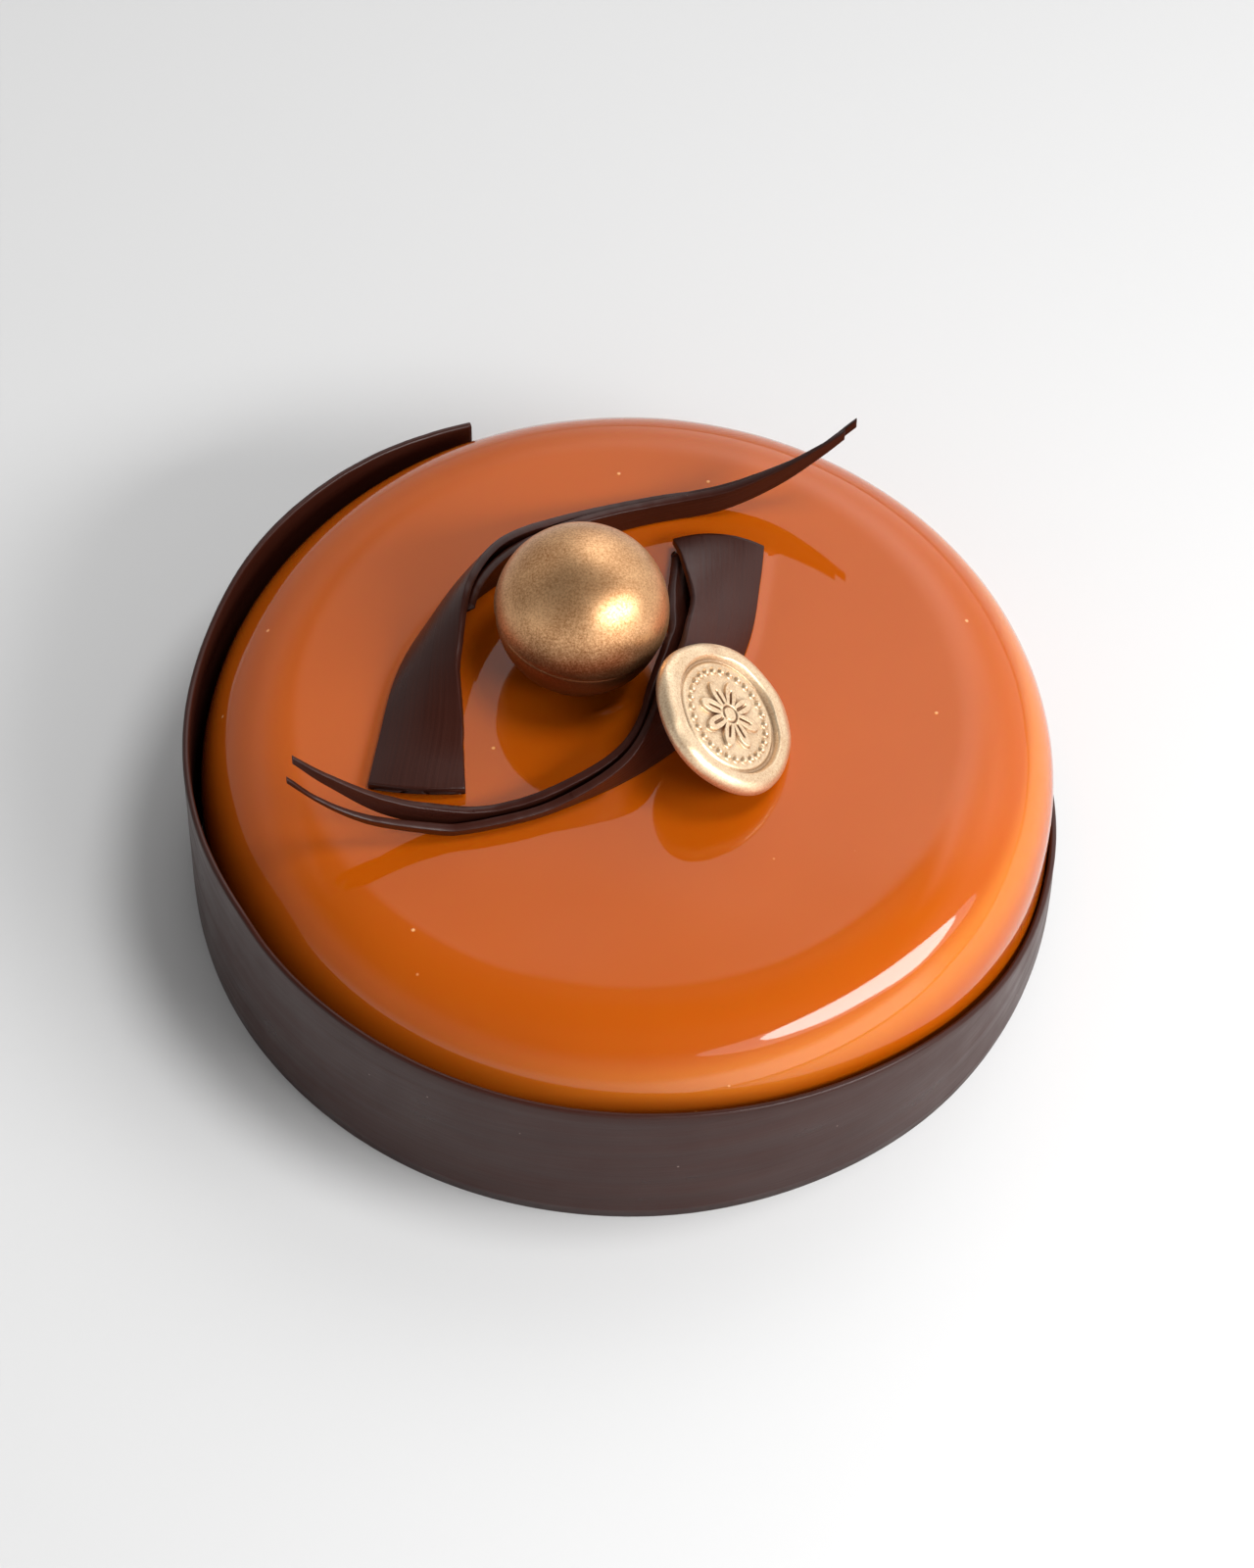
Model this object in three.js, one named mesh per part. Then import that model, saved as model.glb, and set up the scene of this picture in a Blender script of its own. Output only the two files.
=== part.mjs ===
// A chocolate caramel cake: a round cake under a mirror glaze, in a dark chocolate collar whose
// height rises and falls, with a gold sphere, a leaning gold seal and two pairs of chocolate
// curls on top. Millimetres, +Z up. The origin is the centre of the base on the surface.

import * as THREE from 'three';

// ---- driving dimensions -------------------------------------------------------------------

const GAP = 0.3; // between pieces that touch

const CAKE_RADIUS = 98.6;
const CAKE_HEIGHT = 53;
const TOP_ROUNDING = 23; // radius of the glaze's soft upper edge
const FOOT_ROUNDING = 2; // where the glaze turns in at the bottom

const COLLAR_RADIUS = 102; // outside, round the front, left and back
const COLLAR_PULL_IN = 1.4; // how much closer the low right stretch lies to the cake
const COLLAR_THICKNESS = 1.6;
// Height of the collar by angle, counter-clockwise from +X in degrees: from the square end at
// the back left, round the front, to the tip at the back right.
const COLLAR_RIM = [
  { angle: 112.7, height: 41.2 },
  { angle: 131, height: 45.1 },
  { angle: 151, height: 46.7 },
  { angle: 171, height: 44.8 },
  { angle: 195, height: 47.8 },
  { angle: 211, height: 49.8 },
  { angle: 223, height: 46.9 },
  { angle: 260, height: 43.5 },
  { angle: 285, height: 40.2 },
  { angle: 310, height: 33.4 },
  { angle: 332, height: 22.2 },
  { angle: 346, height: 17.6 },
  { angle: 365, height: 13.3 },
  { angle: 390, height: 8 },
  { angle: 412, height: 2 },
];

const SPHERE_RADIUS = 20;
const SPHERE_CENTRE = { x: -11, y: 13.3 };
const SPHERE_SEAM = { lean: 7, lip: 0.5, bevel: 0.7 }; // where the two half shells meet

const SEAL_RADIUS = 19;
const SEAL_THICKNESS = 5;
const SEAL_CENTRE = { x: 21.7, y: -11.2, aboveGlaze: 13.5 };
const SEAL_NORMAL = new THREE.Vector3(0.635, -0.033, 0.773).normalize();
const SEAL_FIELD = { radius: 14.1, depth: 1.3, groove: 0.7 };

const LEAF_THICKNESS = { body: 1.9, tip: 0.9 };
// The path of a curl from its wide end to its tip: where its foot runs, seen from above and
// measured from the curl's centre, how far the foot is lifted off the glaze, and the leaf's breadth.
const CURL_PATH = [
  { x: -46, y: -36, lift: 0, breadth: 22 },
  { x: -43.6, y: -22, lift: 0, breadth: 19.6 },
  { x: -39.8, y: -5, lift: 0, breadth: 18 },
  { x: -32.5, y: 10, lift: 0, breadth: 20 },
  { x: -21.5, y: 22.5, lift: 0, breadth: 17.5 },
  { x: -8, y: 32, lift: 0, breadth: 11.8 },
  { x: 8, y: 40.2, lift: 0, breadth: 8.4 },
  { x: 22, y: 44.4, lift: 0, breadth: 7.6 },
  { x: 34, y: 46.2, lift: 2.4, breadth: 7.2 },
  { x: 46, y: 47.6, lift: 9.2, breadth: 6.4 },
  { x: 56.5, y: 48.2, lift: 19.5, breadth: 4.2 },
  { x: 63.8, y: 48.4, lift: 28.4, breadth: 2.6 },
];
// Each curl is two nested leaves on that path, turned about its centre. shift moves the wide half
// in x, and lean is the inward tilt from upright in degrees at each point of the path. Each leaf
// runs from start to end of the path, 0 to 1. Its top edge is lower than the breadth by drop: the
// outer leaf's in the narrow half, where it also leans further out by splay degrees, and the inner
// one's until dropEnd. Its tip hangs down by droop and runs on by reach. wideHalf are an inner
// leaf's own first points, where it stands free of the outer one.
const CURLS = {
  curl_back: {
    centre: { x: -12.3, y: 12.9 },
    turn: 0,
    shift: 0,
    lean: [88, 80, 56, 30, 15, 6, 4, 3, 3, 4, 3, 0],
    outer: { start: 0, end: 1, splay: 5, drop: 2.6, droop: 0.4, reach: 0 },
    inner: { start: 0.27, end: 0.965, drop: 2.4, dropEnd: 0.5, droop: 0, reach: 0, wideHalf: [] },
  },
  curl_front: {
    centre: { x: -11.3, y: 12.9 },
    turn: 182,
    shift: 2,
    lean: [92, 70, 48, 31, 21, -4, -8, -7, -5, -4, -3, 0],
    outer: { start: 0.025, end: 1, splay: 14, drop: 4.2, droop: 4.2, reach: 1.5 },
    inner: {
      start: 0.01,
      end: 1,
      drop: 2.2,
      dropEnd: 0.74,
      droop: -1.2,
      reach: 0,
      wideHalf: [
        { x: -23.6, y: -31.5, lift: 0, breadth: 4.4, lean: 8 },
        { x: -25.3, y: -19.7, lift: 0, breadth: 10.2, lean: 20 },
        { x: -26.6, y: -8.7, lift: 0, breadth: 14.7, lean: 22 },
        { x: -28.3, y: 3.9, lift: 0, breadth: 17.7, lean: 30 },
        { x: -20.5, y: 21.4, lift: 0, breadth: 17.5, lean: 21 },
      ],
    },
  },
};
// A leaf's wide end is cut off square by slant for each mm of breadth, and bulges in the middle.
const END_CUT = { slant: 0.1, bulge: 1.6 };
const LEAF_STRIPS = 3; // facets across a leaf
const LEAF_STEPS = 48; // facets along it

// ---- materials ----------------------------------------------------------------------------

function finish(color, roughness, metalness) {
  return new THREE.MeshStandardMaterial({ color, roughness, metalness });
}

const GLAZE = finish('#c4662f', 0.08, 0);
const DARK_CHOCOLATE = finish('#3a2622', 0.4, 0);
const GOLD_LUSTRE = finish('#c9a06a', 0.4, 0.8);
const PALE_GOLD_LUSTRE = finish('#e3c697', 0.45, 0.7);

// ---- helpers ------------------------------------------------------------------------------

const radians = THREE.MathUtils.degToRad;

// A closed body from rings of points, each ring counter-clockwise when seen from the end of the
// body. The first and last rings are closed by a fan round their middle.
function bodyFromRings(rings) {
  const count = rings[0].length;
  const points = rings.flat();
  const faces = [];
  for (let i = 0; i + 1 < rings.length; i++) {
    for (let j = 0; j < count; j++) {
      const a = i * count + j;
      const b = i * count + ((j + 1) % count);
      faces.push(a, b, b + count, a, b + count, a + count);
    }
  }
  const fan = (ring, start, forward) => {
    const middle = ring.reduce((sum, point) => sum.add(point), new THREE.Vector3()).divideScalar(count);
    const hub = points.push(middle) - 1;
    for (let j = 0; j < count; j++) {
      const a = start + j;
      const b = start + ((j + 1) % count);
      faces.push(...(forward ? [hub, a, b] : [hub, b, a]));
    }
  };
  fan(rings[0], 0, false);
  fan(rings.at(-1), (rings.length - 1) * count, true);
  const geometry = new THREE.BufferGeometry().setFromPoints(points);
  geometry.setIndex(faces);
  geometry.computeVertexNormals();
  return geometry;
}

// A body turned about +Z from a profile of [radius, height] points that starts and ends on the axis.
function turned(profile, segments) {
  const geometry = new THREE.LatheGeometry(profile.map(([r, z]) => new THREE.Vector2(r, z)), segments);
  geometry.rotateX(Math.PI / 2);
  return geometry;
}

// Points of an arc in the radius-height plane, from one angle to another, in degrees.
function arc(radius, centre, from, to, steps) {
  return Array.from({ length: steps + 1 }, (_, i) => {
    const angle = radians(from + ((to - from) * i) / steps);
    return [centre[0] + radius * Math.cos(angle), centre[1] + radius * Math.sin(angle)];
  });
}

// ---- cake ---------------------------------------------------------------------------------

function cakeGeometry() {
  const profile = [
    [0, 0],
    ...arc(FOOT_ROUNDING, [CAKE_RADIUS - FOOT_ROUNDING, FOOT_ROUNDING], -90, 0, 2),
    ...arc(TOP_ROUNDING, [CAKE_RADIUS - TOP_ROUNDING, CAKE_HEIGHT - TOP_ROUNDING], 0, 90, 12),
    [0, CAKE_HEIGHT],
  ];
  return turned(profile, 96);
}

// ---- collar -------------------------------------------------------------------------------

function collarGeometry() {
  const points = COLLAR_RIM.map((p) => new THREE.Vector3(p.angle, p.height, 0));
  const rim = new THREE.CatmullRomCurve3(points, false, 'catmullrom');
  const steps = 100;
  const rings = [];
  for (let i = 0; i <= steps; i++) {
    const { x: degrees, y: height } = rim.getPoint(i / steps);
    const pull = THREE.MathUtils.smoothstep(degrees, 310, 350) * COLLAR_PULL_IN;
    const outer = COLLAR_RADIUS - pull;
    const inner = outer - COLLAR_THICKNESS;
    const angle = radians(degrees);
    const at = (r, z) => new THREE.Vector3(r * Math.cos(angle), r * Math.sin(angle), z);
    rings.push([at(inner, 0), at(inner, height), at(outer, height), at(outer, 0)]);
  }
  return bodyFromRings(rings);
}

// ---- gold sphere --------------------------------------------------------------------------

// The lower half shell is a little smaller, so that the upper one's edge stands proud as a lip.
function sphereGeometry() {
  const { lip, bevel } = SPHERE_SEAM;
  const lower = SPHERE_RADIUS - lip;
  const edge = THREE.MathUtils.radToDeg(Math.asin(bevel / SPHERE_RADIUS));
  const profile = [
    [0, -lower],
    ...arc(lower, [0, 0], -90, -2 * edge, 10).slice(1),
    [lower - bevel / 2, -bevel / 2],
    ...arc(SPHERE_RADIUS, [0, 0], edge / 2, 90, 11).slice(0, -1),
    [0, SPHERE_RADIUS],
  ];
  return turned(profile, 40);
}

// ---- gold seal ----------------------------------------------------------------------------

// How far the squeezed-out edge of the seal runs past or short of a true circle, by angle.
function sealWobble(angle) {
  const { sin } = Math;
  return 1 + 0.022 * sin(2 * angle + 0.6) + 0.014 * sin(3 * angle - 1.1) + 0.01 * sin(5 * angle);
}

// The seal's edge is a thick rounded roll round a sunk field.
function sealGeometry() {
  const half = SEAL_THICKNESS / 2;
  const { radius: field, depth, groove } = SEAL_FIELD;
  const roll = arc(half, [SEAL_RADIUS - half, 0], -90, 90, 8);
  const profile = [[0, -half], ...roll, [field + 0.9, half - 0.5], [field, half - depth - groove],
    [field - 1.2, half - depth], [0, half - depth]];
  const geometry = turned(profile, 48);
  const position = geometry.attributes.position;
  for (let i = 0; i < position.count; i++) {
    const angle = Math.atan2(position.getY(i), position.getX(i));
    const distance = Math.hypot(position.getX(i), position.getY(i));
    const reach = THREE.MathUtils.smoothstep(distance, field, SEAL_RADIUS);
    const scale = 1 + (sealWobble(angle) - 1) * reach;
    position.setXY(i, position.getX(i) * scale, position.getY(i) * scale);
  }
  geometry.computeVertexNormals();
  return geometry;
}

// ---- chocolate curls ----------------------------------------------------------------------

// One leaf of a curl. side is +1 for the outer leaf and -1 for the inner one.
function leafGeometry({ turn, shift, lean, outer, inner }, side) {
  const { smoothstep, lerp } = THREE.MathUtils;
  const leaf = side > 0 ? outer : inner;
  const shared = CURL_PATH.map((point, i) => ({ ...point, lean: lean[i] }));
  const stations = side > 0 ? shared : [...inner.wideHalf, ...shared.slice(inner.wideHalf.length)];
  const smooth = (points) => new THREE.CatmullRomCurve3(points, false, 'catmullrom');
  const foot = smooth(stations.map((p) => new THREE.Vector3(p.x, p.y, p.lift)));
  const section = smooth(stations.map((p) => new THREE.Vector3(p.breadth, p.lean, 0)));
  const rings = [];
  for (let i = 0; i <= LEAF_STEPS; i++) {
    const t = lerp(leaf.start, leaf.end, i / LEAF_STEPS);
    const base = foot.getPoint(t);
    const tangent = foot.getTangent(t);
    const flat = new THREE.Vector3(tangent.x, tangent.y, 0).normalize();
    const inward = new THREE.Vector3(flat.y, -flat.x, 0);
    const { x: breadth, y: tilt } = section.getPoint(t);
    const narrow = smoothstep(t, 0.35, 0.6);
    const angle = radians(side > 0 ? tilt - leaf.splay * narrow : tilt);
    const rise = new THREE.Vector3(0, 0, Math.cos(angle)).addScaledVector(inward, Math.sin(angle));
    const outward = new THREE.Vector3(0, 0, Math.sin(angle)).addScaledVector(inward, -Math.cos(angle));
    const thickness = lerp(LEAF_THICKNESS.body, LEAF_THICKNESS.tip, smoothstep(t, 0.7, 1));
    const near = (side * GAP) / 2;
    const far = side * (GAP / 2 + thickness);
    const outerDrop = narrow * (1 - smoothstep(t, 0.86, 1));
    const innerDrop = 1 - smoothstep(t, leaf.dropEnd - 0.14, leaf.dropEnd);
    const lower = Math.min(leaf.drop * (side > 0 ? outerDrop : innerDrop), 0.45 * breadth);
    if (side > 0) base.x += shift * (1 - smoothstep(t, 0.18, 0.36));
    base.x += leaf.reach * smoothstep(t, 0.8, 1);
    base.z -= leaf.droop * smoothstep(t, 0.73, 0.91);
    // The outer leaf is lifted until it clears the glaze, and the inner one, which lies under
    // it, starts as much further up the slope instead.
    const dip = GAP - Math.min(near * outward.z, far * outward.z) - base.z;
    if (side > 0) base.z += Math.max(0, dip);
    const low = side > 0 ? 0 : Math.max(0, dip / rise.z);
    const top = Math.max(breadth - lower, low + 0.6);
    const nearEnd = Math.max(0, 1 - (t - leaf.start) / 0.1);
    const at = (up, off) => {
      const share = (up - low) / (top - low);
      const slide = END_CUT.slant * up - END_CUT.bulge * 4 * share * (1 - share);
      const point = base.clone().addScaledVector(rise, up).addScaledVector(outward, off);
      return point.addScaledVector(flat, slide * nearEnd);
    };
    const across = Array.from({ length: LEAF_STRIPS + 1 }, (_, j) => lerp(low, top, j / LEAF_STRIPS));
    const ring = [...across.map((up) => at(up, near)), ...across.reverse().map((up) => at(up, far))];
    rings.push(side > 0 ? ring.reverse() : ring);
  }
  const geometry = bodyFromRings(rings);
  geometry.rotateZ(radians(turn));
  return geometry;
}

// ---- assembly -----------------------------------------------------------------------------

const cake = new THREE.Group();

function add(name, geometry, material) {
  const mesh = new THREE.Mesh(geometry, material);
  mesh.name = name;
  cake.add(mesh);
  return mesh;
}

add('glazed_cake', cakeGeometry(), GLAZE);
add('chocolate_collar', collarGeometry(), DARK_CHOCOLATE);

const sphere = add('gold_sphere', sphereGeometry(), GOLD_LUSTRE);
sphere.position.set(SPHERE_CENTRE.x, SPHERE_CENTRE.y, CAKE_HEIGHT + GAP + SPHERE_RADIUS);
sphere.rotation.y = radians(SPHERE_SEAM.lean);

const seal = add('gold_seal', sealGeometry(), PALE_GOLD_LUSTRE);
seal.position.set(SEAL_CENTRE.x, SEAL_CENTRE.y, CAKE_HEIGHT + SEAL_CENTRE.aboveGlaze);
seal.quaternion.setFromUnitVectors(new THREE.Vector3(0, 0, 1), SEAL_NORMAL);

for (const [name, curl] of Object.entries(CURLS)) {
  for (const [leaf, side] of [['inner', -1], ['outer', 1]]) {
    const mesh = add(`${name}_${leaf}`, leafGeometry(curl, side), DARK_CHOCOLATE);
    mesh.position.set(curl.centre.x, curl.centre.y, CAKE_HEIGHT);
  }
}

export default cake;
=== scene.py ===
# A chocolate caramel cake: mirror glaze, a dark chocolate collar, a gold sphere, a gold seal
# and two pairs of chocolate curls. Every mesh is made at its real size, in metres.

from math import atan2, cos, degrees, hypot, pi, radians, sin, sqrt

import bpy
import numpy as np
from mathutils import Matrix, Vector, noise


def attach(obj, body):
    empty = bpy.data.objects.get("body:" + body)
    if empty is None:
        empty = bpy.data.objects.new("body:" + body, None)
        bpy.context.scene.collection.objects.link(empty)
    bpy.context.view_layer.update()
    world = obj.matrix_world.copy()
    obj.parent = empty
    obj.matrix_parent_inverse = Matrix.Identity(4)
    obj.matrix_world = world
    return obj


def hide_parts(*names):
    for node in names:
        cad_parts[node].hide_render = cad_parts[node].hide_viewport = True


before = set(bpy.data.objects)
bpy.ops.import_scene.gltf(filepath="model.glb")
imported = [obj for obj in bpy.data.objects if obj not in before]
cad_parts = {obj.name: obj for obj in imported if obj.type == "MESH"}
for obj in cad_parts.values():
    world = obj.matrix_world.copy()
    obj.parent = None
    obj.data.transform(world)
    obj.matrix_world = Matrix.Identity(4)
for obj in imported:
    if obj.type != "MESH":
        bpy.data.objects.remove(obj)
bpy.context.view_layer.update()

MM = 0.001

# ---- sizes, in millimetres ------------------------------------------------------------------

GAP = 0.3  # between pieces that touch

CAKE_RADIUS = 98.6  # of the glazed cake
CAKE_HEIGHT = 53
TOP_ROUNDING = 23
FOOT_ROUNDING = 2

COLLAR_RADIUS = 102
COLLAR_PULL_IN = 1.4  # how far its low right stretch closes in on the cake
COLLAR_THICKNESS = 1.6
# Height of the collar's rim by angle in degrees, counter-clockwise from +X.
COLLAR_RIM = (
    (112.7, 41.2),
    (131, 45.1),
    (151, 46.7),
    (171, 44.8),
    (195, 47.8),
    (211, 49.8),
    (223, 46.9),
    (260, 43.5),
    (285, 40.2),
    (310, 33.4),
    (332, 22.2),
    (346, 17.6),
    (365, 13.3),
    (390, 8),
    (412, 2),
)

SPHERE_RADIUS = 20
SPHERE_CENTRE = (-11, 13.3)  # seen from above
SPHERE_MIDDLE = (*SPHERE_CENTRE, CAKE_HEIGHT + GAP + SPHERE_RADIUS)
SPHERE_LEAN = 7  # degrees, of the seam between its two half shells
SPHERE_LIP = 0.5  # how far the upper shell stands proud of the lower one

SEAL_RADIUS = 19
SEAL_THICKNESS = 5
SEAL_CENTRE = (21.7, -11.2, CAKE_HEIGHT + 13.5)
SEAL_NORMAL = (0.635, -0.033, 0.773)
SEAL_FIELD = 14.1  # radius of the sunk field inside the rolled edge
SEAL_DEPTH = 1.3

LEAF_THICKNESS = (1.9, 0.9)  # along its body and at its tip
# The path of a curl from wide end to tip: foot x and y from the curl's centre, lift, breadth.
CURL_PATH = (
    (-46, -36, 0, 22),
    (-43.6, -22, 0, 19.6),
    (-39.8, -5, 0, 18),
    (-32.5, 10, 0, 20),
    (-21.5, 22.5, 0, 17.5),
    (-8, 32, 0, 11.8),
    (8, 40.2, 0, 8.4),
    (22, 44.4, 0, 7.6),
    (34, 46.2, 2.4, 7.2),
    (46, 47.6, 9.2, 6.4),
    (56.5, 48.2, 19.5, 4.2),
    (63.8, 48.4, 28.4, 2.6),
)
# Each curl is two nested leaves on that path: lean is the inward tilt in degrees, shift moves the
# wide half, drop lowers a leaf's top edge, and droop and reach move its tip. wide_half are an
# inner leaf's own first points, with x, y, lift, breadth and lean.
CURLS = {
    "curl_back": {
        "centre": (-12.3, 12.9),
        "turn": 0,
        "shift": 0,
        "lean": (88, 80, 56, 30, 15, 6, 4, 3, 3, 4, 3, 0),
        "outer": {"start": 0, "end": 1, "splay": 5, "drop": 2.6, "droop": 0.4, "reach": 0},
        "inner": {
            "start": 0.27,
            "end": 0.965,
            "drop": 2.4,
            "drop_end": 0.5,
            "droop": 0,
            "reach": 0,
            "wide_half": (),
        },
    },
    "curl_front": {
        "centre": (-11.3, 12.9),
        "turn": 182,
        "shift": 2,
        "lean": (92, 70, 48, 31, 21, -4, -8, -7, -5, -4, -3, 0),
        "outer": {"start": 0.025, "end": 1, "splay": 14, "drop": 4.2, "droop": 4.2, "reach": 1.5},
        "inner": {
            "start": 0.01,
            "end": 1,
            "drop": 2.2,
            "drop_end": 0.74,
            "droop": -1.2,
            "reach": 0,
            "wide_half": (
                (-23.6, -31.5, 0, 4.4, 8),
                (-25.3, -19.7, 0, 10.2, 20),
                (-26.6, -8.7, 0, 14.7, 22),
                (-28.3, 3.9, 0, 17.7, 30),
                (-20.5, 21.4, 0, 17.5, 21),
            ),
        },
    },
}
# A leaf's wide end is cut off square by slant for each mm of breadth, and bulges in the middle.
END_CUT = {"slant": 0.1, "bulge": 1.6}
CUP = 1.3  # how far a leaf's middle bows out where it is broad
LEAF_CORNER = 0.35  # radius of a leaf's broken edges
# Stretches of the path, 0 to 1, over which a leaf changes.
NARROWING = (0.35, 0.6)  # from its wide half to its narrow half
SHIFT_FADES = (0.18, 0.36)
CUP_FADES = (0.3, 0.45)
THINNING = (0.7, 1)
DROOPING = (0.73, 0.91)
REACHING = (0.8, 1)
DROP_FADES = (0.86, 1)  # the outer leaf's
DROP_FADE = 0.14  # the inner leaf's, before its drop_end
CUT_STRETCH = 0.1  # how much of the path the cut at the wide end bends


# ---- small helpers --------------------------------------------------------------------------


def linear(hex_colour):
    """An sRGB hex colour as linear RGBA."""
    channels = [int(hex_colour[i : i + 2], 16) / 255 for i in (1, 3, 5)]
    return tuple(c / 12.92 if c <= 0.04045 else ((c + 0.055) / 1.055) ** 2.4 for c in channels) + (1.0,)


def node(tree, kind, inputs=(), **settings):
    """Adds a node. Its inputs are in order or by name, each a value or the output that it links to."""
    made = tree.nodes.new(kind)
    for name, value in settings.items():
        setattr(made, name, value)
    for key, value in inputs.items() if isinstance(inputs, dict) else enumerate(inputs):
        if isinstance(value, bpy.types.NodeSocket):
            tree.links.new(value, made.inputs[key])
        else:
            made.inputs[key].default_value = value
    return made


def ease(low, high, value):
    """0 below low, 1 above high, and a smooth step between."""
    t = float(min(max((value - low) / (high - low), 0), 1))
    return t * t * (3 - 2 * t)


def through(points, t):
    """A smooth curve through evenly spaced stations, at t from 0 to 1, and its slope."""
    points = np.asarray(points, float)
    place = min(max(t, 0), 1) * (len(points) - 1)
    i = min(int(place), len(points) - 2)
    u = place - i
    before = points[i - 1] if i > 0 else 2 * points[0] - points[1]
    after = points[i + 2] if i + 2 < len(points) else 2 * points[-1] - points[-2]
    a, b = points[i], points[i + 1]
    start, end = (b - before) / 2, (after - a) / 2
    value = (2 * u**3 - 3 * u**2 + 1) * a + (u**3 - 2 * u**2 + u) * start
    value = value + (3 * u**2 - 2 * u**3) * b + (u**3 - u**2) * end
    slope = (6 * u**2 - 6 * u) * (a - b) + (3 * u**2 - 4 * u + 1) * start + (3 * u**2 - 2 * u) * end
    return value, slope


def rough(x, y, z, seed=0):
    """Soft noise from -1 to 1 at a point."""
    return noise.noise(Vector((x + 17.3 * seed, y - 9.1 * seed, z + 4.7 * seed)))


def skin(name, rings, marks):
    """A closed smooth mesh over rings of points in mm, with marks as its UV in metres."""
    count = len(rings[0])
    points = [tuple(c * MM for c in p) for ring in rings for p in ring]
    uv = [tuple(c * MM for c in m) for row in marks for m in row]
    faces = []
    for i in range(len(rings) - 1):
        for j in range(count):
            a = i * count + j
            b = i * count + (j + 1) % count
            faces.append((a, b, b + count, a + count))
    for first in (0, (len(rings) - 1) * count):
        ring = points[first : first + count]
        hub = len(points)
        points.append(tuple(sum(p[k] for p in ring) / count for k in range(3)))
        uv.append(uv[first])
        for j in range(count):
            a, b = first + j, first + (j + 1) % count
            faces.append((hub, b, a) if first == 0 else (hub, a, b))
    mesh = bpy.data.meshes.new(name)
    mesh.from_pydata(points, [], faces)
    layer = mesh.uv_layers.new(name="surface")
    index = np.empty(len(mesh.loops), int)
    mesh.loops.foreach_get("vertex_index", index)
    layer.data.foreach_set("uv", np.array(uv)[index].ravel())
    mesh.shade_smooth()
    mesh.update()
    piece = bpy.data.objects.new(name, mesh)
    bpy.context.scene.collection.objects.link(piece)
    return piece


def turned(name, profile, segments, shape):
    """A body turned about +Z from [radius, height] points; shape moves each point."""
    unrolled = 100  # the radius in mm that its UV is laid out for
    rings, marks = [], []
    along = 0
    for i, (radius, height) in enumerate(profile):
        if i:
            along += hypot(radius - profile[i - 1][0], height - profile[i - 1][1])
        ring = []
        for j in range(segments):
            angle = 2 * pi * j / segments
            ring.append(shape((radius * cos(angle), radius * sin(angle), height), angle))
        rings.append(ring)
        marks.append([(2 * pi * unrolled * j / segments, along) for j in range(segments)])
    return skin(name, rings, marks)


def arc(radius, centre, start, end, steps):
    """Points of an arc in the radius-height plane, in degrees."""
    angles = [radians(start + (end - start) * i / steps) for i in range(steps + 1)]
    return [(centre[0] + radius * cos(a), centre[1] + radius * sin(a)) for a in angles]


def finish_piece(piece, material, node_name):
    """Gives a piece its material and its place in the frame."""
    piece.data.materials.append(material)
    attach(piece, "root")
    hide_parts(node_name)


# ---- materials ------------------------------------------------------------------------------


def new_material(name):
    """A material without nodes but its output."""
    material = bpy.data.materials.new(name)
    material.use_nodes = True
    tree = material.node_tree
    tree.nodes.clear()
    return material, tree, tree.nodes.new("ShaderNodeOutputMaterial")


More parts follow.
